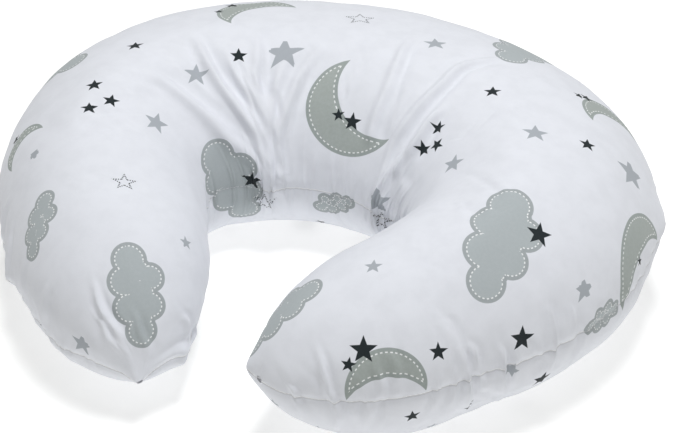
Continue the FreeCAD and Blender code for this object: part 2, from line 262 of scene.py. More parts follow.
G = resample(P0)
AC = resample(A0[..., None])[..., 0]
SF = resample(np.repeat(S[:, None, None], N2, 1))[..., 0]
rows, cols = G.shape[:2]
HALF = cols // 2
print("grid", G.shape)


# ---------------------------------------------------------------- the print
# kind, s mm, across mm, top, turn in degrees, size mm, mirrored
MOTIFS = [
    ('black', -220.0, 10.8, 1, 40.8, 8.1, 1),
    ('black', -282.8, 9.8, 1, 15.7, 7.8, 1),
    ('black', -310.8, 6.2, 1, 6.8, 7.7, 1),
    ('black', -300.3, -9.5, 1, -0.7, 7.8, 1),
    ('black', -136.2, -46.3, 1, 78.6, 8.1, 1),
    ('black', -125.7, 54.1, 1, 82.6, 7.8, 1),
    ('black', -136.2, 34.7, 1, 78.2, 5.0, 1),
    ('black', -303.8, 88.4, 1, 12.2, 6.0, 1),
    ('black', -178.1, -161.1, 1, 83.7, 9.5, 1),
    ('black', 0.0, -100.6, 1, 107.0, 6.1, 1),
    ('black', 24.4, -104.4, 1, 99.2, 8.4, 1),
    ('black', 150.2, -15.3, 1, 147.5, 7.8, 1),
    ('black', 153.6, -72.6, 1, 126.4, 7.1, 1),
    ('black', 167.6, -94.6, 1, 140.8, 7.1, 1),
    ('black', 185.1, -81.9, 1, 102.6, 7.1, 1),
    ('black', 220.0, 46.7, 1, -176.9, 7.6, 1),
    ('black', 160.6, 64.7, 1, 151.6, 5.5, 1),
    ('black', 160.6, 72.3, 1, 147.4, 6.7, 1),
    ('black', 310.8, 46.7, 1, -140.0, 11.2, 1),
    ('black', 466.4, 54.4, 1, -108.4, 11.2, 1),
    ('black', 478.7, 55.4, 1, -115.2, 6.3, 1),
    ('black', 417.0, 86.2, 1, -104.8, 7.9, 1),
    ('black', 349.2, 111.0, 1, -104.1, 10.6, 1),
    ('black', 439.1, 96.0, 0, -80.7, 7.0, 1),
    ('black', 258.4, 133.3, 1, -118.0, 4.6, 1),
    ('grey', -199.0, -51.4, 1, 58.7, 11.4, 1),
    ('grey', -83.8, -46.4, 1, 87.5, 18.6, 1),
    ('grey', -307.3, -50.2, 1, 1.4, 11.6, 1),
    ('grey', -338.7, 56.4, 1, -32.2, 8.8, 1),
    ('grey', 55.9, 3.9, 1, 126.7, 11.0, 1),
    ('grey', 251.4, -65.6, 1, 165.7, 10.3, 1),
    ('grey', 139.7, -158.0, 1, 101.6, 11.8, 1),
    ('grey', 223.5, 3.6, 1, -179.4, 11.2, 1),
    ('grey', 220.0, 93.3, 1, -161.4, 17.6, 1),
    ('grey', -453.1, -61.0, 1, 16.5, 6.5, 1),
    ('grey', -502.1, 63.7, 1, -81.6, 11.2, 1),
    ('grey', 428.1, -2.6, 1, -129.4, 7.6, 1),
    ('grey', 303.8, 104.2, 1, -108.7, 11.8, 1),
    ('grey', 244.4, 153.6, 1, -81.5, 8.2, 1),
    ('grey', 359.7, 125.9, 0, 94.1, 6.7, 1),
    ('dashed', -401.9, -16.0, 1, -7.2, 10.3, 1),
    ('dashed', -21.0, 15.5, 1, 106.1, 13.6, 1),
    ('dashed', -122.2, -149.0, 0, 90.2, 10.1, 1),
    ('dashed', 164.1, -156.7, 0, 89.1, 9.9, 1),
    ('moon', 32.4, -82.7, 1, 140.6, 86.7, -1),
    ('moon', -102.2, 12.8, 1, 34.7, 71.3, -1),
    ('moon', -323.9, 68.3, 1, 119.1, 45.5, 1),
    ('moon', 183.9, 88.2, 1, 107.4, 61.9, -1),
    ('moon', 254.0, 156.7, 1, 9.0, 85.0, 1),
    ('moon', 458.6, 99.1, 1, 358.0, 61.9, 1),
    ('cloud', 335.5, 33.8, 1, 40.6, 108.2, 1),
    ('cloud', -500.1, -5.5, 1, -175.9, 86.5, 1),
    ('cloud', -411.6, 64.4, 1, 146.9, 63.2, 1),
    ('cloud', -246.8, -167.5, 1, -69.7, 91.3, 1),
    ('cloud', 497.5, -27.1, 1, -29.3, 80.4, -1),
    ('cloud', 95.8, 68.8, 1, -63.5, 98.7, 1),
    ('cloud', 293.9, 141.5, 1, -3.5, 47.6, -1),
    ('cloud', 17.4, -152.3, 0, 32.5, 44.7, 1)
]


def anchor(GR, NR, s, across, top):
    rr = np.abs(SF[:, 0] - s).argmin()
    half = slice(0, HALF + 1) if top else slice(HALF, cols)
    j = np.abs(AC[rr, half] - across).argmin() + (0 if top else HALF)
    j %= cols
    p = GR[rr, j]
    n = NR[rr, j]
    es = GR[min(rr + 2, rows - 1), j] - GR[max(rr - 2, 0), j]
    es = es - n * (es @ n)
    es /= np.linalg.norm(es)
    return p, n, es, np.cross(n, es)


def print_layers(GR):
    """Frames on the fine grid for the given motifs, and for more motifs scattered over the cloth that the given ones
    leave bare.
    """
    NR = normals(GR)
    flat, fn = GR.reshape(-1, 3), NR.reshape(-1, 3)
    placed = []
    for kind, s, across, top, turn, size, mirror in MOTIFS:
        placed.append((kind, anchor(GR, NR, s / 1000, across / 1000, top), turn, size / 1000, mirror))
    # the rest of the cloth, where the print goes on
    rng = np.random.default_rng(11)
    reach = {"moon": 0.60, "cloud": 0.56, "grey": 1.0, "black": 1.0, "dashed": 1.0}
    taken = [(p[0], reach[k] * z) for k, p, t, z, m in placed]
    for kind, zs, many in (("cloud", (0.105,), 30), ("moon", (0.088,), 30), ("grey", (0.0095, 0.0165, 0.0065), 70),
                           ("black", (0.0055, 0.0095, 0.0055), 70), ("dashed", (0.010,), 26)):
        for k in range(many * 6):
            q = int(rng.integers(len(flat)))
            z = zs[int(rng.integers(len(zs)))]
            p, n = flat[q], fn[q]
            r = reach[kind] * z
            i, j = divmod(q, cols)
            facing = float(n @ np.array(away)) > 0.12 and float((GR[i, j] - np.array(AIM)) @ np.array(away)) > -0.5
            seam_near = min(j, abs(j - HALF), cols - j) < 6
            if facing and not hidden_region(p, n):
                continue
            if n[2] < -0.999 and False:
                continue
            if any(np.linalg.norm(p - c) < (r + rr) * 1.10 + 0.012 for c, rr in taken):
                continue
            es = GR[min(i + 2, rows - 1), j] - GR[max(i - 2, 0), j]
            es = es - n * (es @ n)
            es /= np.linalg.norm(es) + 1e-12
            placed.append((kind, (p, n, es, np.cross(n, es)), float(rng.uniform(0, 360)), z, 1 if rng.random() < .5 else -1))
            taken.append((p, r))
            many -= 1
            if many <= 0:
                break
    return placed


def hidden_region(p, n):
    """True where the given motifs do not cover the cloth, though it faces the front."""
    return p[2] < 0.052


PLACED = print_layers(G)
print("motifs", len(PLACED))
KIND = {"grey": 1.0, "cloud": 2.0, "moon": 3.0, "black": 1.0, "dashed": 2.0}


def layer_attributes(GR, face_ids):
    """Per face corner: x, y and kind for the grey layer and for the black layer."""
    flat = GR.reshape(-1, 3)
    flat = np.concatenate([flat, POLES])
    NRf = np.concatenate([normals(GR).reshape(-1, 3), np.array([[0, -1, 0], [0, -1, 0]])])
    F = face_ids
    cent = flat[F].mean(1)
    cn = NRf[F].mean(1)
    out = [np.zeros((len(F), F.shape[1], 3), np.float32) for _ in range(2)]
    best = [np.full(len(F), 1e9) for _ in range(2)]
    for kind, (p, n, es, ea), turn, size, mirror in PLACED:
        lay = 0 if kind in ("grey", "cloud", "moon") else 1
        r = size * (0.66 if kind == "cloud" else 0.80 if kind == "moon" else 1.15) + 0.006
        near = np.where((np.linalg.norm(cent - p, axis=1) < r) & ((cn @ n) > 0.05))[0]
        if not len(near):
            continue
        d0 = np.linalg.norm(cent[near] - p, axis=1) / size
        near = near[d0 < best[lay][near]]
        if not len(near):
            continue
        best[lay][near] = np.linalg.norm(cent[near] - p, axis=1) / size
        v = flat[F[near]] - p
        t = v - n * (v @ n)[..., None]
        l = np.linalg.norm(t, axis=-1) + 1e-9
        d = np.linalg.norm(v, axis=-1)
        t = t * (d / l)[..., None]
        x, y = t @ es, t @ ea
        c, sn = math.cos(math.radians(turn)), math.sin(math.radians(turn))
        u, w = (x * c + y * sn) / size, (-x * sn + y * c) / size * mirror
        out[lay][near, :, 0], out[lay][near, :, 1], out[lay][near, :, 2] = u, w, KIND[kind] + size
    return out


# ------------------------------------------------------- cloth simulation
def outward(V, F):
    """True where the faces of a closed quad mesh point outward."""
    c = V[F]
    n = np.cross(c[:, 2] - c[:, 0], c[:, 3 if F.shape[1] > 3 else 1] - c[:, 1]) if F.shape[1] > 3 else 0
    return float((n * (c.mean(1) - V.mean(0))).sum()) > 0


def seam_distance(GR):
    """Distance in the cloth from the outer and from the inner seam."""
    m = GR.shape[1] // 2
    step = np.linalg.norm(np.roll(GR, -1, 1) - GR, axis=-1)
    run = np.concatenate([np.zeros((len(GR), 1)), np.cumsum(step, 1)], 1)
    top_, all_ = run[:, m:m + 1], run[:, -1:]
    do = np.concatenate([run[:, :m], all_ - run[:, m:-1]], 1)
    di = np.concatenate([top_ - run[:, :m], run[:, m:-1] - top_], 1)
    return do, di


def simulate(GP):
    """Blows the cover up from inside with extra cloth gathered along its seams, and returns the moved grid."""
    r, c = GP.shape[:2]
    V = np.concatenate([GP.reshape(-1, 3), POLES])
    F = closed_faces(r, c)
    quads = np.array([f for f in F if len(f) == 4])
    q = V[quads]
    vol = (np.cross(q[:, 1] - q[:, 0], q[:, 2] - q[:, 0]) * q[:, 0]).sum() + (np.cross(q[:, 2] - q[:, 0], q[:, 3] - q[:, 0]) * q[:, 0]).sum()
    if vol < 0:
        F = [f[::-1] for f in F]
    ob = mesh_object("sim_cover", V, F)
    do, di = seam_distance(GP)
    crown = np.minimum(do, di)
    inner = np.exp(-(di / 0.085) ** 2) * (np.abs(S)[:, None] < 0.36)
    grow = np.clip(0.75 * np.exp(-(crown / 0.034) ** 2) + 1.0 * inner, 0, 1)
    pin = np.exp(-(do / 0.045) ** 2) * (1 / (1 + np.exp((np.abs(S)[:, None] - 0.135) / 0.008)))
    pin[:, :] = np.where(pin > 0.35, 1.0, 0.0)
    for name, w in (("grow", grow), ("pin", pin)):
        g = ob.vertex_groups.new(name=name)
        flat = np.round(np.concatenate([w.reshape(-1), [0.3, 0.3] if name == "grow" else [0, 0]]), 2)
        for v in np.unique(flat):
            if v > 0:
                g.add([int(k) for k in np.where(flat == v)[0]], float(v), "REPLACE")
    mod = ob.modifiers.new("cloth", "CLOTH")
    cs = mod.settings
    cs.quality = 5
    cs.mass = 0.18
    cs.air_damping = 3.0
    cs.bending_model = "ANGULAR"
    cs.tension_stiffness = cs.compression_stiffness = 18
    cs.shear_stiffness = 9
    cs.bending_stiffness = 0.22
    cs.tension_damping = cs.compression_damping = 6
    cs.use_pressure = True
    cs.uniform_pressure_force = 7
    cs.vertex_group_mass = "pin"
    cs.vertex_group_shrink = "grow"
    cs.shrink_min, cs.shrink_max = -0.004, -0.075
    cs.effector_weights.gravity = 0
    mod.collision_settings.use_collision = False
    mod.collision_settings.use_self_collision = False
    mod.point_cache.frame_start, mod.point_cache.frame_end = 1, 24
    sc = bpy.context.scene
    sc.frame_start, sc.frame_end = 1, 24
    for f in range(1, 25):
        sc.frame_set(f)
    bpy.context.view_layer.objects.active = ob
    bpy.ops.object.select_all(action="DESELECT")
    ob.select_set(True)
    bpy.ops.object.modifier_apply(modifier="cloth")
    out = np.zeros(len(ob.data.vertices) * 3, np.float32)
    ob.data.vertices.foreach_get("co", out)
    sc.frame_set(1)
    bpy.data.objects.remove(ob)
    out = out.reshape(-1, 3).astype(float)[:r * c].reshape(r, c, 3)
    print("cloth moved", np.abs(out - GP).max())
    return out


def blur(D, rr, cc, axis_rows=True):
    """Repeated box blur along the rows (open) and the columns (closed)."""
    for _ in range(3):
        k = 2 * rr + 1
        pad = np.concatenate([np.repeat(D[:1], rr, 0), D, np.repeat(D[-1:], rr, 0)])
        cs_ = np.cumsum(np.concatenate([np.zeros_like(pad[:1]), pad]), 0)
        D = (cs_[k:] - cs_[:-k]) / k
        k = 2 * cc + 1
        pad = np.concatenate([D[:, -cc:], D, D[:, :cc]], 1)
        cs_ = np.cumsum(np.concatenate([np.zeros_like(pad[:, :1]), pad], 1), 1)
        D = (cs_[:, k:] - cs_[:, :-k]) / k
    return D


NR0 = normals(P0)
moved = simulate(P0)
D = moved - P0
out_by = (D * NR0).sum(-1)
out_by = np.nan_to_num(out_by, nan=0.0, posinf=0.0, neginf=0.0)
WRINKLE = out_by - blur(out_by, 7, 7)
WRINKLE = 0.0065 * np.tanh(WRINKLE * 2.0 / 0.0065)
print("wrinkles", WRINKLE.std(), np.abs(WRINKLE).max())

# ---------------------------------------------------------- folds given one by one
DO, DI = seam_distance(G)
NG = normals(G)
ANG = np.abs(np.arctan2(G[..., 0] - ZIP_C[0], G[..., 1] - ZIP_C[1]))
NEAR_ZIP = (1 / (1 + np.exp((ANG - math.radians(30.6)) / math.radians(0.9)))) * np.exp(-(np.minimum(DO, 1.0) / 0.030) ** 4)
LIFT = np.ascontiguousarray(resample(WRINKLE[..., None])[..., 0])
FOLD_UP, FOLD_DOWN = np.zeros(rows * cols), np.zeros(rows * cols)
RNG = np.random.default_rng(4)


def at_cloth(s, across):
    """Point of the upper cloth by s and by the distance across from the crown."""
    i = int(np.clip(np.searchsorted(SF[:, 0], s), 1, rows - 1))
    j = np.interp(-across, -AC[i, :HALF + 1], np.arange(HALF + 1))
    return at_ring(s, j / cols)


def smooth_path(points, n=70):
    p = np.array(points, float)
    t = np.linspace(0, len(p) - 1, n)
    i = np.clip(t.astype(int), 0, len(p) - 2)
    u = (t - i)[:, None]
    a, b = np.maximum(i - 1, 0), np.minimum(i + 2, len(p) - 1)
    p0, p1, p2, p3 = p[a], p[i], p[i + 1], p[b]
    return 0.5 * (2 * p1 + (p2 - p0) * u + (2 * p0 - 5 * p1 + 4 * p2 - p3) * u**2 + (3 * p1 - p0 - 3 * p2 + p3) * u**3)


def at_ring(s, share):
    """Point of the fine grid by its row and its share of the way round."""
    i = float(np.interp(s, SF[:, 0], np.arange(rows)))
    i0 = min(int(i), rows - 2)
    j = share * cols
    j0 = math.floor(j)
    f, g = i - i0, j - j0
    mixed = [sum(w * a[r, c % cols] for w, r, c in (((1 - f) * (1 - g), i0, j0), ((1 - f) * g, i0, j0 + 1), (f * (1 - g), i0 + 1, j0), (f * g, i0 + 1, j0 + 1)))
             for a in (G, NG)]
    return mixed[0], mixed[1] / np.linalg.norm(mixed[1])


def fold(path, height, width, lean=0.6, ends=(0.0, 1.0), by_ring=False):
    """A ridge with a valley beside it along a line in the cloth; points are s and across, or s and share of the ring."""
    line = smooth_path(path)
    pn = [at_ring(s / 1000, a) if by_ring else at_cloth(s / 1000, a / 1000) for s, a in line]
    P, Nn = np.array([q[0] for q in pn]), np.array([q[1] for q in pn])
    T = np.gradient(P, axis=0)
    T /= np.linalg.norm(T, axis=1, keepdims=True) + 1e-9
    B = np.cross(Nn, T)
    lo_, hi_ = P.min(0) - 0.04, P.max(0) + 0.04
    near = np.where(((G > lo_) & (G < hi_)).all(-1).reshape(-1))[0]
    X, XN = G.reshape(-1, 3)[near], NG.reshape(-1, 3)[near]
    d2 = ((X[:, None] - P[None]) ** 2).sum(-1)
    k = d2.argmin(1)
    v = X - P[k]
    side = (v * B[k]).sum(1)
    along = (v * T[k]).sum(1)
    past = np.where((k == 0) | (k == len(P) - 1), np.abs(along), 0.0)
    t = k / (len(P) - 1)
    env = np.clip(np.sin(np.pi * np.clip(t * 0.92 + 0.06, 0, 1)), 0, 1) ** 0.7
    env = np.maximum(env, ends[0] * (1 - t)) if ends[0] else env
    env = np.maximum(env, ends[1] * t) if ends[1] else env
    env = env * np.exp(-(past / 0.008) ** 2) * (0.35 + 0.65 * np.clip((XN * Nn[k]).sum(1), 0, 1))
    w = width * (0.8 + 0.5 * t)
    d = side + 0.0012 * np.sin(t * 9 + height * 3000)
    prof = np.exp(-(d / w) ** 2) - lean * np.exp(-((d - 1.75 * w) / (1.15 * w)) ** 2) - 0.35 * lean * np.exp(-((d + 2.0 * w) / (1.4 * w)) ** 2)
    add = height * env * prof
    FOLD_UP[near] = np.maximum(FOLD_UP[near], add)
    FOLD_DOWN[near] = np.minimum(FOLD_DOWN[near], add)


FOLDS = [
    [(-244, -31), (-237, -74), (-202, -121), (-101, -166)], [(-175, -19), (-171, -79), (-129, -135), (-105, -159)],
    [(-150, -46), (-136, -96), (-112, -135)], [(-112, -31), (-119, -85), (-108, -139)],
    [(-49, -46), (-77, -97), (-94, -128), (-84, -159)], [(35, -8), (49, -62), (63, -108)],
    [(105, 15), (98, -15), (105, -46), (108, -85), (105, -112), (119, -155)],
    [(-133, -62), (-115, -101), (-105, -147)], [(-66, -43), (-101, -93), (-101, -147)],
    [(126, -108), (140, -131), (154, -157)], [(133, -62), (143, -88), (154, -122)]]
for i, f in enumerate(FOLDS):
    fold(f, 0.0052 + 0.0011 * math.sin(i * 2.1), 0.0052 + 0.0012 * math.cos(i * 1.7), 0.70)
# sharp creases at the ends and across the outer seam: s in mm, share of the way round, height and width in mm
CREASES = [
    ([(495.6, 0.137), (495.6, 0.06), (492.2, -0.004), (488.6, -0.081)], 2.8, 2.9),
    ([(516.8, 0.069), (514.8, 0.012), (512.6, -0.028)], 2.0, 2.6),
    ([(462.1, 0.089), (462.1, 0.036), (466.5, -0.02)], 1.7, 3.2),
    ([(448.3, 0.097), (450.6, 0.02)], 1.8, 3.4),
    ([(407.8, 0.113), (407.8, 0.081), (407.8, 0.004)], 2.0, 3.0),
    ([(405.8, 0.115), (401.2, 0.077), (398.6, 0.008)], 2.4, 3.2),
    ([(398.1, 0.069), (395.7, 0.036), (395.7, 0.004), (395.7, -0.036), (390.9, -0.069)], 3.0, 3.0),
    ([(393.3, 0.07), (388.5, 0.028), (386.1, -0.006)], 2.2, 3.0),
    ([(368.9, 0.045), (366.9, -0.004), (364.5, -0.069)], 2.2, 3.0),
    ([(330.9, 0.075), (328.5, 0.04), (328.5, 0.006), (330.9, -0.026)], 2.6, 3.0),
    ([(316.5, 0.064), (316.5, 0.004)], 1.9, 3.4),
    ([(-490.6, 0.177), (-506.3, 0.169), (-516.8, 0.165), (-525.5, 0.160)], 3.2, 3.2),
    ([(-503.4, 0.145), (-512.6, 0.140), (-524.0, 0.129)], 2.4, 2.8),
    ([(-512.8, 0.250), (-521.0, 0.278), (-525.4, 0.330)], 3.0, 3.0),
    ([(-526.4, 0.343), (-523.4, 0.442), (-513.7, 0.484), (-486.6, 0.524)], 3.0, 3.2),
    ([(-464.3, 0.105), (-462.1, 0.016)], 1.7, 3.4),
    ([(-503.6, 0.403), (-504.9, 0.492)], 2.0, 3.2),
    ([(-376.5, 0.07), (-388.5, 0.0)], 1.8, 3.6),
    ([(-350.0, 0.08), (-352.0, 0.0)], 1.4, 3.4),
    ([(-425.0, 0.09), (-430.0, 0.01)], 1.4, 3.4)]
for line, h, w in CREASES:
    fold(line, 1.25 * h / 1000, w / 1000, 0.75, (0.0, 0.6), True)


LIFT += (FOLD_UP + FOLD_DOWN).reshape(rows, cols)


def pucker(s0, seam, up, down, height, width, slant=0.0):
    """Short gathers running away from a seam on both panels."""
    dist = DO if seam == "outer" else DI
    half = np.zeros(cols, bool)
    half[:HALF + 1] = True
    reach_ = np.where(half[None, :], up, down)
    near = dist < reach_ * 1.5
    s = SF - s0 - slant * np.where(half[None, :], dist, -dist)
    env = np.exp(-(dist / (reach_ * 0.75)) ** 2)
    w = width * (0.75 + 0.9 * dist / 0.04)
    prof = np.exp(-(s / w) ** 2) - 0.75 * np.exp(-((s - 1.6 * w) / (0.95 * w)) ** 2)
    LIFT[...] += np.where(near, height * env * prof, 0.0)


for s in (513.6, 492.5, 484.5, 472.7, 459.9, 420.7, 405.7, 394.6, 366.7, 356.2, 335.2, 328.2, 307.3, 286.3):
    pucker(s / 1000, "outer", float(RNG.uniform(0.016, 0.034)), float(RNG.uniform(0.018, 0.042)),
           float(RNG.uniform(0.0009, 0.0019)), float(RNG.uniform(0.0022, 0.0038)), float(RNG.uniform(-0.5, 0.5)))
for k in range(96):
    s = float(RNG.uniform(-0.53, 0.53))
    if abs(s) < 0.13 or 0.28 < s:
        continue
    pucker(s, "outer", float(RNG.uniform(0.010, 0.030)), float(RNG.uniform(0.012, 0.034)),
           float(RNG.uniform(0.0005, 0.0014)), float(RNG.uniform(0.0022, 0.0040)), float(RNG.uniform(-0.5, 0.5)))
for k in range(90):
    s = float(RNG.uniform(-0.52, 0.52))
    near_bend = math.exp(-(s / 0.26) ** 2)
    pucker(s, "inner", float(RNG.uniform(0.012, 0.03) * (1 + near_bend)), float(RNG.uniform(0.012, 0.03) * (1 + near_bend)),
           float(RNG.uniform(0.0006, 0.0013) * (1 + 0.8 * near_bend)), float(RNG.uniform(0.0022, 0.0040)), float(RNG.uniform(-0.4, 0.4)))

# the seams pull the cloth in
for d in (DO, DI):
    LIFT -= 0.0012 * np.exp(-(d / 0.0032) ** 2) + 0.0009 * np.exp(-(d / 0.012) ** 2)

# slow unevenness of the fibre under the cloth
def waves(seed, scale, count=26):
    g = np.random.default_rng(seed)
    out = np.zeros(G.shape[:2])
    for _ in range(count):
        k = g.normal(size=3) / scale
        out += np.sin(G @ k + g.uniform(0, TAU))
    return out / math.sqrt(count)


LIFT += 0.0009 * waves(5, 0.028) + 0.00028 * waves(6, 0.009)
taper = np.clip((LENGTH - np.abs(SF)) / 0.020, 0, 1)
LIFT *= 0.15 + 0.85 * taper
LIFT *= 1 - NEAR_ZIP
floor_near = np.clip((G[..., 2] - 0.002) / 0.020, 0, 1)
LIFT = np.where(NG[..., 2] < -0.6, LIFT * floor_near, LIFT)
LIFT = np.where(LIFT < 0, 0.0058 * np.tanh(LIFT / 0.0058), 0.009 * np.tanh(LIFT / 0.009))
COVER = G + NG * LIFT[..., None]


# corners at the tips and small bulges of the seam
def ear(s, share, push, radius, direction=None):
    """Pushes the cloth out in a soft point."""
    p, n = at_ring(s / 1000, share)
    v = np.array(direction if direction is not None else n, float)
    v /= np.linalg.norm(v)
    d = np.sqrt(((G - p) ** 2).sum(-1)) / radius
    COVER[...] += (push * np.exp(-d**1.6))[..., None] * v


ear(-526.0, 0.20, 0.0095, 0.010, (0.05, -0.75, -0.65))
ear(-506.0, 0.530, 0.0105, 0.011, (0.55, -0.75, -0.25))
ear(523.0, 0.497, 0.0090, 0.015, (-0.9, -0.35, -0.1))
ear(218.2, 0.01, 0.0070, 0.017)
ear(-388.5, 0.0, 0.0050, 0.014)
ear(-479.0, -0.01, 0.0040, 0.012)
COVER[..., 2] = np.maximum(COVER[..., 2], 0.0)


# ------------------------------------------------------------ the two panels
def zip_edge(dist, ang):
    """How far the edge of a panel stands back from the seam line, along the zip."""
    open_ = 1 / (1 + np.exp((ang - math.radians(29.0)) / math.radians(0.33)))
    return open_


def panel(name, top):
    """One panel of the cover, with its edge turned in along the zip."""
    idx = np.arange(0, HALF + 1) if top else np.arange(HALF, cols + 1) % cols
    V = COVER[:, idx].copy()
    D_ = DO[:, idx]
    ang = ANG[:, 0 if top else 0]
    o = 1 / (1 + np.exp((ang - math.radians(29.0)) / math.radians(0.30)))
    zedge = np.zeros(rows)
    edge = 0 if top else len(idx) - 1
    sg = 1.0 if top else -1.0
    # cloth near the zip slides back so that its edge is clear of the teeth
    for i in range(rows):
        if o[i] < 0.01:
            continue
        d = D_[i]
        gap = 0.0049 * o[i]
        m = d < 0.03
        want = gap + d[m] * (0.03 - gap) / 0.03
        order = np.argsort(d)
        dd = d[order]
        for k in range(3):
            V[i, m, k] = np.interp(want, dd, COVER[i, idx][order][:, k])
    q = len(idx)
    hem = []
    for depth, back in ((0.0011, 0.0002), (0.0019, 0.0012), (0.0021, 0.0040)):
        e = V[:, edge].copy()
        rad = np.stack([e[:, 0] - ZIP_C[0], e[:, 1] - ZIP_C[1], np.zeros(rows)], 1)
        rad /= np.linalg.norm(rad, axis=1, keepdims=True)
        e = e - rad * depth * o[:, None]
        e[:, 2] += sg * back * o
        hem.append(e)
    H = np.stack(hem, 1)
    V = np.concatenate([H[:, ::-1], V], 1) if top else np.concatenate([V, H], 1)
    full = V.shape[1]
    at = list(range(full))
    keep = np.ones(full, bool)
    verts = V.reshape(-1, 3)
    F, src = [], []
    off = 3 if top else 0
    for i in range(rows - 1):
        for c in range(full - 1):
            inhem = (c < 3) if top else (c >= q - 1)
            if inhem and max(o[i], o[i + 1]) < 0.01:
                continue
            f = (i * full + c, i * full + c + 1, (i + 1) * full + c + 1, (i + 1) * full + c)
            F.append(f)
            cc = np.clip(np.array([c, c + 1, c + 1, c]) - off, 0, q - 1)
            src.append([i * cols + idx[cc[0]], i * cols + idx[cc[1]], (i + 1) * cols + idx[cc[2]], (i + 1) * cols + idx[cc[3]]])
    verts = np.concatenate([verts, POLES_C])
    n0 = rows * full
    tri, tsrc = [], []
    for c in range(off, off + q - 1):
        k = c - off
        tri.append((n0, c + 1, c))
        tsrc.append([rows * cols, idx[k + 1], idx[k]])
        r = (rows - 1)
        tri.append((n0 + 1, r * full + c, r * full + c + 1))
        tsrc.append([rows * cols + 1, r * cols + idx[k], r * cols + idx[k + 1]])
    ob = mesh_object_parts(name, verts, F, src, tri, tsrc, top)
    return ob


POLES_C = POLES.copy()
for k in (0, 1):
    POLES_C[k] = COVER[0 if k == 0 else rows - 1].mean(0) * 0.2 + POLES[k] * 0.8


def mesh_object_parts(name, verts, F, src, tri, tsrc, top):
    used = np.unique(np.concatenate([np.array(F).reshape(-1), np.array(tri).reshape(-1)]))
    remap = -np.ones(len(verts), int)
    remap[used] = np.arange(len(used))
    verts = verts[used]
    F4, F3 = remap[np.array(F)], remap[np.array(tri)]
    S4, S3 = np.array(src), np.array(tsrc)
    # outward faces
    a = verts[F4]
    n = np.cross(a[:, 2] - a[:, 0], a[:, 3] - a[:, 1])
    up = n[:, 2].sum() > 0
    if up != top:
        F4, S4 = F4[:, ::-1], S4[:, ::-1]
    a = verts[F3]
    n3 = np.cross(a[:, 1] - a[:, 0], a[:, 2] - a[:, 0])
    flip = (n3[:, 2] > 0) != top
    F3[flip], S3[flip] = F3[flip][:, ::-1], S3[flip][:, ::-1]
    me = bpy.data.meshes.new(name)
    me.from_pydata([tuple(v) for v in verts], [], [tuple(int(x) for x in f) for f in F4] + [tuple(int(x) for x in f) for f in F3])
    me.polygons.foreach_set("use_smooth", [True] * len(me.polygons))
    L4 = layer_attributes(G, S4)
    L3 = layer_attributes(G, S3)
    for lay, nm in ((0, "print_a"), (1, "print_b")):
        att = me.attributes.new(nm, "FLOAT_VECTOR", "CORNER")
        data = np.concatenate([L4[lay].reshape(-1, 3), L3[lay].reshape(-1, 3)]).astype(np.float32)
        att.data.foreach_set("vector", data.reshape(-1))
    dist = np.concatenate([np.minimum(DO, DI).reshape(-1), [0.0, 0.0]])
    along = np.concatenate([SF.reshape(-1), [0, 0]])
    flag = 1.0 if top else 0.0
    data = np.concatenate([np.stack([dist[q], along[q], np.full_like(dist[q], flag)], -1).reshape(-1, 3) for q in (S4, S3)]).astype(np.float32)
    att = me.attributes.new("seam", "FLOAT_VECTOR", "CORNER")
    att.data.foreach_set("vector", data.reshape(-1))
    o = bpy.data.objects.new(name, me)
    bpy.context.scene.collection.objects.link(o)
    return o


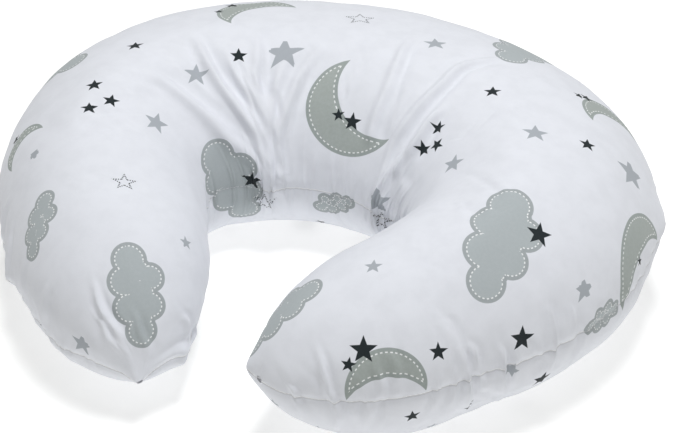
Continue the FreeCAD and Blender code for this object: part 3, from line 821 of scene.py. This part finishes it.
# ---------------------------------------------------------------- materials
class Nodes:
    """Small helper for building shader maths."""

    def __init__(self, name):
        self.m = bpy.data.materials.new(name)
        self.m.use_nodes = True
        self.t = self.m.node_tree
        self.t.nodes.clear()
        self.out = self.t.nodes.new("ShaderNodeOutputMaterial")
        self.b = self.t.nodes.new("ShaderNodeBsdfPrincipled")
        self.t.links.new(self.b.outputs[0], self.out.inputs[0])

    def put(self, sock, v):
        if isinstance(v, (int, float)):
            sock.default_value = v
        elif isinstance(v, tuple):
            sock.default_value = v
        else:
            self.t.links.new(v, sock)

    def f(self, op, a, b=None, c=None, clamp=False):
        n = self.t.nodes.new("ShaderNodeMath")
        n.operation = op
        n.use_clamp = clamp
        for k, v in enumerate((a, b, c)):
            if v is not None:
                self.put(n.inputs[k], v)
        return n.outputs[0]

    def ramp(self, v, lo_, hi_, a=0.0, b=1.0):
        n = self.t.nodes.new("ShaderNodeMapRange")
        n.interpolation_type = "SMOOTHSTEP"
        self.put(n.inputs[0], v)
        n.inputs[1].default_value, n.inputs[2].default_value = lo_, hi_
        n.inputs[3].default_value, n.inputs[4].default_value = a, b
        return n.outputs[0]

    def mix(self, fac, a, b):
        n = self.t.nodes.new("ShaderNodeMix")
        n.data_type = "RGBA"
        self.put(n.inputs[0], fac)
        self.put(n.inputs[6], a)
        self.put(n.inputs[7], b)
        return n.outputs[2]

    def mixf(self, fac, a, b):
        n = self.t.nodes.new("ShaderNodeMix")
        n.data_type = "FLOAT"
        self.put(n.inputs[0], fac)
        self.put(n.inputs[2], a)
        self.put(n.inputs[3], b)
        return n.outputs[0]

    def attr(self, name):
        n = self.t.nodes.new("ShaderNodeAttribute")
        n.attribute_name = name
        s = self.t.nodes.new("ShaderNodeSeparateXYZ")
        self.t.links.new(n.outputs["Vector"], s.inputs[0])
        return s.outputs[0], s.outputs[1], s.outputs[2]

    def coords(self):
        n = self.t.nodes.new("ShaderNodeTexCoord")
        return n.outputs["Object"]

    def noise(self, scale, detail=2.0, rough=0.5, vec=None):
        n = self.t.nodes.new("ShaderNodeTexNoise")
        self.put(n.inputs["Vector"], vec if vec is not None else self.coords())
        n.inputs["Scale"].default_value = scale
        n.inputs["Detail"].default_value = detail
        n.inputs["Roughness"].default_value = rough
        return n.outputs[0]

    def bump(self, height, strength, distance):
        n = self.t.nodes.new("ShaderNodeBump")
        n.inputs["Strength"].default_value = strength
        n.inputs["Distance"].default_value = distance
        self.put(n.inputs["Height"], height)
        self.t.links.new(n.outputs[0], self.b.inputs["Normal"])

    def set(self, **k):
        for name, v in k.items():
            self.put(self.b.inputs[name.replace("_", " ")], v)


def rgb(h, k=1.0):
    c = [int(h[i:i + 2], 16) / 255 for i in (1, 3, 5)]
    c = [((x + 0.055) / 1.055) ** 2.4 if x > 0.04045 else x / 12.92 for x in c]
    return tuple(min(x * k, 1.0) for x in c) + (1.0,)


MOON = (0.009, -0.124, 0.519, -0.004, 0.295, 0.576)
LOBES = ((-0.329, 0.0, 0.171), (-0.130, -0.085, 0.168), (-0.125, 0.155, 0.145), (0.120, -0.090, 0.163),
         (0.125, 0.100, 0.145), (0.342, -0.020, 0.150), (0.0, 0.035, 0.150), (-0.215, 0.035, 0.150), (0.225, 0.0, 0.130))


def star_distance(n, x, y, inner=0.42):
    r = n.f("SQRT", n.f("ADD", n.f("MULTIPLY", x, x), n.f("MULTIPLY", y, y)))
    th = n.f("ARCTAN2", y, x)
    w = 2 * math.pi / 5
    k = n.f("SUBTRACT", n.f("FLOORED_MODULO", n.f("ADD", th, w / 2), w), w / 2)
    ph = n.f("ABSOLUTE", k)
    qx, qy = n.f("MULTIPLY", r, n.f("COSINE", ph)), n.f("MULTIPLY", r, n.f("SINE", ph))
    ex, ey = inner * math.cos(w / 2) - 1, inner * math.sin(w / 2)
    le = math.hypot(ex, ey)
    # positive outside
    d = n.f("SUBTRACT", n.f("MULTIPLY", qy, -ex / le), n.f("MULTIPLY", n.f("SUBTRACT", qx, 1.0), -ey / le))
    along = n.f("ADD", n.f("MULTIPLY", n.f("SUBTRACT", qx, 1.0), ex / le), n.f("MULTIPLY", qy, ey / le))
    return d, n.f("DIVIDE", along, le)


def circle(n, x, y, cx, cy, r):
    dx, dy = n.f("SUBTRACT", x, cx), n.f("SUBTRACT", y, cy)
    d = n.f("SQRT", n.f("ADD", n.f("MULTIPLY", dx, dx), n.f("MULTIPLY", dy, dy)))
    return n.f("SUBTRACT", d, r), n.f("MULTIPLY", n.f("ARCTAN2", dy, dx), r)


def printed_cotton():
    n = Nodes("printed_cotton")
    soft = 0.00022
    co = n.coords()
    grain = n.noise(2600, 1.0, 0.5, co)
    blotch = n.noise(60, 3.0, 0.6, co)
    sd, ss, flag = n.attr("seam")
    white = n.mix(n.ramp(blotch, 0.35, 0.7), rgb("#E4E6EC"), rgb("#E0E2E8"))
    # the rolled edge of the upper panel catches light, the lower one lies in its shade
    white = n.mix(n.f("MULTIPLY", n.ramp(sd, 0.0007, 0.0012, 0.75, 0.0), flag), white, rgb("#FAFAFB"))
    white = n.mix(n.f("MULTIPLY", n.ramp(sd, 0.0002, 0.0016, 0.40, 0.0), n.f("SUBTRACT", 1.0, flag)), white, rgb("#A9AAAE"))
    # grey layer
    x, y, code = n.attr("print_a")
    kind = n.f("FLOOR", n.f("ADD", code, 0.0005))
    size = n.f("SUBTRACT", code, kind)
    d_star, _ = star_distance(n, x, y)
    m_star = n.ramp(n.f("MULTIPLY", d_star, size), -soft, soft, 1.0, 0.0)
    # moon
    d1, a1 = circle(n, x, y, MOON[0], MOON[1], MOON[2])
    d2, a2 = circle(n, x, y, MOON[3], MOON[4], MOON[5])
    nd2 = n.f("MULTIPLY", d2, -1.0)
    d_moon = n.f("MAXIMUM", d1, nd2)
    a_moon = n.mixf(n.f("GREATER_THAN", d1, nd2), a2, a1)
    # cloud
    d_c = a_c = None
    for L in LOBES:
        d, a_ = circle(n, x, y, *L)
        if d_c is None:
            d_c, a_c = d, a_
        else:
            near = n.f("LESS_THAN", d, d_c)
            d_c, a_c = n.mixf(near, d_c, d), n.mixf(near, a_c, a_)
    is_moon = n.f("COMPARE", kind, 3.0, 0.4)
    is_cloud = n.f("COMPARE", kind, 2.0, 0.4)
    is_star = n.f("COMPARE", kind, 1.0, 0.4)
    d_big = n.f("MULTIPLY", n.mixf(is_moon, d_c, d_moon), size)
    a_big = n.f("MULTIPLY", n.mixf(is_moon, a_c, a_moon), size)
    either = n.f("ADD", is_moon, is_cloud, clamp=True)
    m_big = n.f("MULTIPLY", n.ramp(d_big, -soft, soft, 1.0, 0.0), either)
    inset = n.f("ABSOLUTE", n.f("ADD", d_big, 0.0034))
    row = n.ramp(inset, 0.00038, 0.00062, 1.0, 0.0)
    dash = n.ramp(n.f("PINGPONG", a_big, 0.00225), 0.00095, 0.00125)
    stitch = n.f("MULTIPLY", n.f("MULTIPLY", row, dash), m_big)
    inside = n.ramp(d_big, -0.0042, -0.0030, 1.0, 0.0)
    cloudy = n.mix(inside, rgb("#A2A8AA"), rgb("#AEB5B7"))
    moony = n.mix(inside, rgb("#99A19E"), rgb("#A2A9A5"))
    big = n.mix(is_moon, cloudy, moony)
    mott = n.ramp(n.noise(420, 2.0, 0.7, co), 0.3, 0.75, 0.0, 0.16)
    big = n.mix(mott, big, rgb("#C4C9CA"))
    col = n.mix(n.f("MULTIPLY", m_star, is_star), white, rgb("#A9AEB4"))
    col = n.mix(m_big, col, big)
    col = n.mix(n.f("MULTIPLY", stitch, 0.95), col, rgb("#F1F2F2"))
    # black layer
    x, y, code = n.attr("print_b")
    kind = n.f("FLOOR", n.f("ADD", code, 0.0005))
    size = n.f("SUBTRACT", code, kind)
    d_s, t_s = star_distance(n, x, y)
    d_m = n.f("MULTIPLY", d_s, size)
    solid = n.f("MULTIPLY", n.ramp(d_m, -soft, soft, 1.0, 0.0), n.f("COMPARE", kind, 1.0, 0.4))
    lined = n.ramp(n.f("ABSOLUTE", n.f("ADD", d_m, 0.0003)), 0.00050, 0.00080, 1.0, 0.0)
    broken = n.ramp(n.f("PINGPONG", n.f("MULTIPLY", t_s, size), 0.0014), 0.00055, 0.00075)
    dashed = n.f("MULTIPLY", n.f("MULTIPLY", lined, broken), n.f("COMPARE", kind, 2.0, 0.4))
    black = n.mix(n.ramp(grain, 0.4, 0.75, 0.0, 0.35), rgb("#1D2528"), rgb("#3A4246"))
    col = n.mix(solid, col, black)
    col = n.mix(n.f("MULTIPLY", dashed, 0.95), col, rgb("#30363A"))
    n.set(Base_Color=col, Roughness=0.86, Sheen_Weight=0.12, Sheen_Roughness=0.5, Specular_IOR_Level=0.25,
          Subsurface_Weight=0.0)
    weave = n.f("ADD", n.f("MULTIPLY", grain, 0.5), n.f("MULTIPLY", n.noise(900, 2.0, 0.6, co), 0.5))
    n.bump(weave, 0.35, 0.0004)
    return n.m


def plain(name, color, rough=0.8, metal=0.0, noise_scale=800, bump=0.2, dist=0.0003, tint=None, sheen=0.0, spec=0.35, low=0.3, high=0.7):
    n = Nodes(name)
    co = n.coords()
    v = n.noise(noise_scale, 3.0, 0.6, co)
    col = n.mix(n.ramp(v, low, high), rgb(color), rgb(tint or color, 0.9))
    n.set(Base_Color=col, Roughness=n.ramp(v, 0.2, 0.8, max(rough - 0.06, 0.02), min(rough + 0.06, 1.0)), Metallic=metal,
          Specular_IOR_Level=spec, Sheen_Weight=sheen)
    n.bump(v, bump, dist)
    return n.m


def wrap(obj, mat):
    obj.data.materials.clear()
    obj.data.materials.append(mat)


M_COTTON = printed_cotton()
M_THREAD = plain("white_thread", "#ECECEE", 0.7, 0, 2600, 0.5, 0.0003, "#D9D9DC", 0.1)
M_LABEL = plain("label_satin", "#F2F2F0", 0.42, 0, 1500, 0.15, 0.0001, "#E6E6E4", 0.25, 0.5)
M_TAPE = plain("zip_tape", "#EDEDEE", 0.85, 0, 2200, 0.6, 0.0003, "#D5D5D8", 0.15)
M_COIL = plain("zip_coil", "#E4E4E6", 0.38, 0, 900, 0.1, 0.0001, "#D4D4D8", 0, 0.5)
M_METAL = plain("zip_metal", "#C3C5C8", 0.30, 0.85, 500, 0.12, 0.0001, "#C9CACC", 0, 0.5)
M_CASE = plain("case_cloth", "#EDEBE6", 0.9, 0, 700, 0.5, 0.0005, "#DCDAD4", 0.1)
M_FIBRE = plain("polyester_fibre", "#F4F4F2", 0.95, 0, 160, 0.9, 0.003, "#E2E2DF", 0.4)

top = panel("cover_top", True)
bottom = panel("cover_bottom", False)
for o, node in ((top, "cover_top_panel"), (bottom, "cover_bottom_panel")):
    wrap(o, M_COTTON)
    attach(o, "pillow")
    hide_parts(node)


# -------------------------------------------------- inner case and filling
def inner(inset, seed, rough):
    mid = LENGTH - TIP
    s0 = stations(0.008)
    s1 = np.sign(s0) * np.where(np.abs(s0) > mid, np.abs(s0) - inset * (np.abs(s0) - mid) / (LENGTH - mid), np.abs(s0))
    cx, cy, nx, ny = centre(s1)
    w, up, down, c = sizes(s0)
    n = 44
    V = np.zeros((len(s0), 2 * n, 3))
    for i in range(len(s0)):
        k = max(c[i], 0.02)
        X, Z, g = ring(w[i] - inset, up[i] - inset, down[i] - inset, k, n)
        V[i, :, 0], V[i, :, 1], V[i, :, 2] = cx[i] + nx[i] * X, cy[i] + ny[i] * X, SEAM_Z + Z - tip_drop(s0[i], c[i])
    V[..., 2] = np.maximum(V[..., 2], inset * 0.35)
    g = np.random.default_rng(seed)
    lump = np.zeros(V.shape[:2])
    for _ in range(30):
        k = g.normal(size=3) / rough
        lump += np.sin(V @ k + g.uniform(0, TAU))
    nr = normals(V)
    V = V + nr * (0.0009 * lump / math.sqrt(30) - 0.0004)[..., None]
    V[..., 2] = np.maximum(V[..., 2], inset * 0.3)
    return V


def half_of(V, top):
    """Upper or lower panel of a closed grid of sections."""
    m = V.shape[1] // 2
    idx = np.arange(0, m + 1) if top else np.arange(m, 2 * m + 1) % (2 * m)
    H = V[:, idx]
    q = len(idx)
    e = [V[0].mean(0), V[-1].mean(0)]
    verts = np.concatenate([H.reshape(-1, 3), e])
    r = len(V)
    F = [(i * q + c, i * q + c + 1, (i + 1) * q + c + 1, (i + 1) * q + c) for i in range(r - 1) for c in range(q - 1)]
    F += [(r * q, c + 1, c) for c in range(q - 1)] + [(r * q + 1, (r - 1) * q + c, (r - 1) * q + c + 1) for c in range(q - 1)]
    a = verts[np.array([f[:3] for f in F])]
    n = np.cross(a[:, 1] - a[:, 0], a[:, 2] - a[:, 0])[:, 2].sum()
    if (n > 0) != top:
        F = [f[::-1] for f in F]
    return verts, F


def settle(o, mat, nodes_):
    wrap(o, mat)
    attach(o, "pillow")
    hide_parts(*nodes_)
    return o


CASE = inner(0.0085, 21, 0.020)
for is_top, nm in ((True, "top"), (False, "bottom")):
    v, f = half_of(CASE, is_top)
    settle(mesh_object("inner_case_" + nm, v, f), M_CASE, ["inner_case_%s_panel" % nm])
FIBRE = inner(0.0125, 22, 0.012)
v, f = half_of(FIBRE, True)
v2, f2 = half_of(FIBRE, False)
settle(mesh_object("filling", np.concatenate([v, v2]), f + [tuple(len(v) + k for k in q) for q in f2]), M_FIBRE,
       ["fibre_filling"])


# ------------------------------------------------------------- seam thread
def tube(name, path, radius, sides=6, closed=False):
    p = np.array(path, float)
    t = np.gradient(p, axis=0)
    t /= np.linalg.norm(t, axis=1, keepdims=True) + 1e-12
    up = np.array([0, 0, 1.0])
    b = np.cross(t, up)
    b /= np.linalg.norm(b, axis=1, keepdims=True) + 1e-12
    c = np.cross(b, t)
    a = np.arange(sides) * TAU / sides
    V = p[:, None] + radius * (np.cos(a)[None, :, None] * b[:, None] + np.sin(a)[None, :, None] * c[:, None])
    F = []
    n = len(p)
    for i in range(n - 1):
        for j in range(sides):
            k = (j + 1) % sides
            F.append((i * sides + j, (i + 1) * sides + j, (i + 1) * sides + k, i * sides + k))
    F.append(tuple(range(sides)))
    F.append(tuple((n - 1) * sides + j for j in reversed(range(sides))))
    return V.reshape(-1, 3), F


def stitches():
    """Short stitches that hold the panels together, lying in the hollow of the seam."""
    VV, FF, base = [], [], 0
    for col, skip in ((0, True), (HALF, False)):
        line = COVER[:, col]
        nrm = normals(COVER)[:, col]
        d = np.concatenate([[0], np.cumsum(np.linalg.norm(np.diff(line, axis=0), axis=1))])
        k = 0.006
        while k < d[-1] - 0.008:
            q = np.linspace(k, k + 0.0026, 5)
            P = np.stack([np.interp(q, d, line[:, c]) for c in range(3)], 1)
            Nn = np.stack([np.interp(q, d, nrm[:, c]) for c in range(3)], 1)
            an = np.abs(np.arctan2(P[:, 0] - ZIP_C[0], P[:, 1] - ZIP_C[1])).min()
            if not (skip and an < math.radians(30.2)):
                P = P + Nn * (0.00018 * np.sin(np.linspace(0, math.pi, 5)) - 0.0001)[:, None]
                V, F = tube("x", P, 0.00028, 5)
                VV.append(V)
                FF += [tuple(base + x for x in f) for f in F]
                base += len(V)
            k += 0.0036
    return np.concatenate(VV), FF


def case_thread():
    VV, FF, base = [], [], 0
    m = CASE.shape[1] // 2
    for col in (0, m):
        line = CASE[4:-4, col]
        V, F = tube("x", line, 0.0004, 5)
        VV.append(V)
        FF += [tuple(base + x for x in f) for f in F]
        base += len(V)
    return np.concatenate(VV), FF


v, f = case_thread()
settle(mesh_object("inner_case_seam", v, f), M_THREAD, ["inner_case_seam_thread"])
v, f = stitches()
seam = mesh_object("seam_stitches", v, f)
wrap(seam, M_THREAD)
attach(seam, "pillow")
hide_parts("cover_seam_thread")


def coil(name, node, half_turn):
    """A wound coil in the place of the strip that the CAD model holds."""
    co = np.array([v.co for v in nodes[node].data.vertices])
    rad = np.hypot(co[:, 0] - ZIP_C[0], co[:, 1] - ZIP_C[1])
    r0, r1, z0, z1 = rad.min(), rad.max(), co[:, 2].min(), co[:, 2].max()
    end = np.abs(np.arctan2(co[:, 0], co[:, 1] - ZIP_C[1])).max() - 0.003
    turns = int(2 * end * r1 / 0.00135)
    per = 12
    k = np.arange(turns * per + 1)
    a = -end + 2 * end * k / (turns * per)
    ph = TAU * k / per + half_turn
    wire = 0.00034
    r = (r0 + r1) / 2 + ((r1 - r0) / 2 - wire) * np.cos(ph)
    z = (z0 + z1) / 2 + ((z1 - z0) / 2 - wire) * np.sin(ph)
    path = np.stack([ZIP_C[0] + r * np.sin(a), ZIP_C[1] + r * np.cos(a), z], 1)
    V, F = tube(name, path, wire, 5)
    core = np.linspace(-end, end, 160)
    cp = np.stack([ZIP_C[0] + (r0 + r1) / 2 * np.sin(core), ZIP_C[1] + (r0 + r1) / 2 * np.cos(core), np.full(160, (z0 + z1) / 2)], 1)
    V2, F2 = tube(name, cp, 0.00045, 6)
    settle(mesh_object(name, np.concatenate([V, V2]), F + [tuple(len(V) + q for q in f) for f in F2]), M_COIL, [node])


coil("coil_upper", "zip_coil_upper", 0.0)
coil("coil_lower", "zip_coil_lower", math.pi)
for names, mat in ((("zip_tape_lower", "zip_tape_upper"), M_TAPE),
                   (("zip_bottom_stop", "zip_top_stops", "zip_slider_body", "zip_pull_tab"), M_METAL), (("care_label",), M_LABEL)):
    for name in names:
        wrap(nodes[name], mat)

# --------------------------------------------------------- floor and lights
floor = mesh_object("floor", [(-3, -2.2, -0.0006), (3, -2.2, -0.0006), (3, 3.4, -0.0006), (-3, 3.4, -0.0006)], [(0, 1, 2, 3)], False)
nf = Nodes("floor_white")
nf.set(Base_Color=rgb("#D4D4D2"), Roughness=0.9, Specular_IOR_Level=0.1, Emission_Color=(1, 1, 1, 1), Emission_Strength=0.52)
wrap(floor, nf.m)

world = bpy.data.worlds.new("studio")
bpy.context.scene.world = world
world.use_nodes = True
bg = world.node_tree.nodes["Background"]
bg.inputs[0].default_value = (1.0, 1.0, 0.97, 1)
bg.inputs[1].default_value = 0.32


def lamp(name, at, aim, size, power, color=(1, 1, 1)):
    d = bpy.data.lights.new(name, "AREA")
    d.shape = "RECTANGLE"
    d.size, d.size_y = size
    d.energy = power
    d.color = color
    o = bpy.data.objects.new(name, d)
    bpy.context.scene.collection.objects.link(o)
    o.location = at
    o.rotation_mode = "QUATERNION"
    o.rotation_quaternion = (Vector(aim) - Vector(at)).to_track_quat("-Z", "Y")
    return o


lamp("key", (0.12, 0.05, 2.10), (0, 0, 0.05), (0.7, 0.6), 29.5, (0.97, 0.98, 1.0))
lamp("side", (1.9, -0.4, 0.9), (0.1, 0, 0.08), (0.9, 0.9), 1.6, (0.95, 0.95, 1.0))
bpy.context.scene.view_settings.view_transform = "Standard"
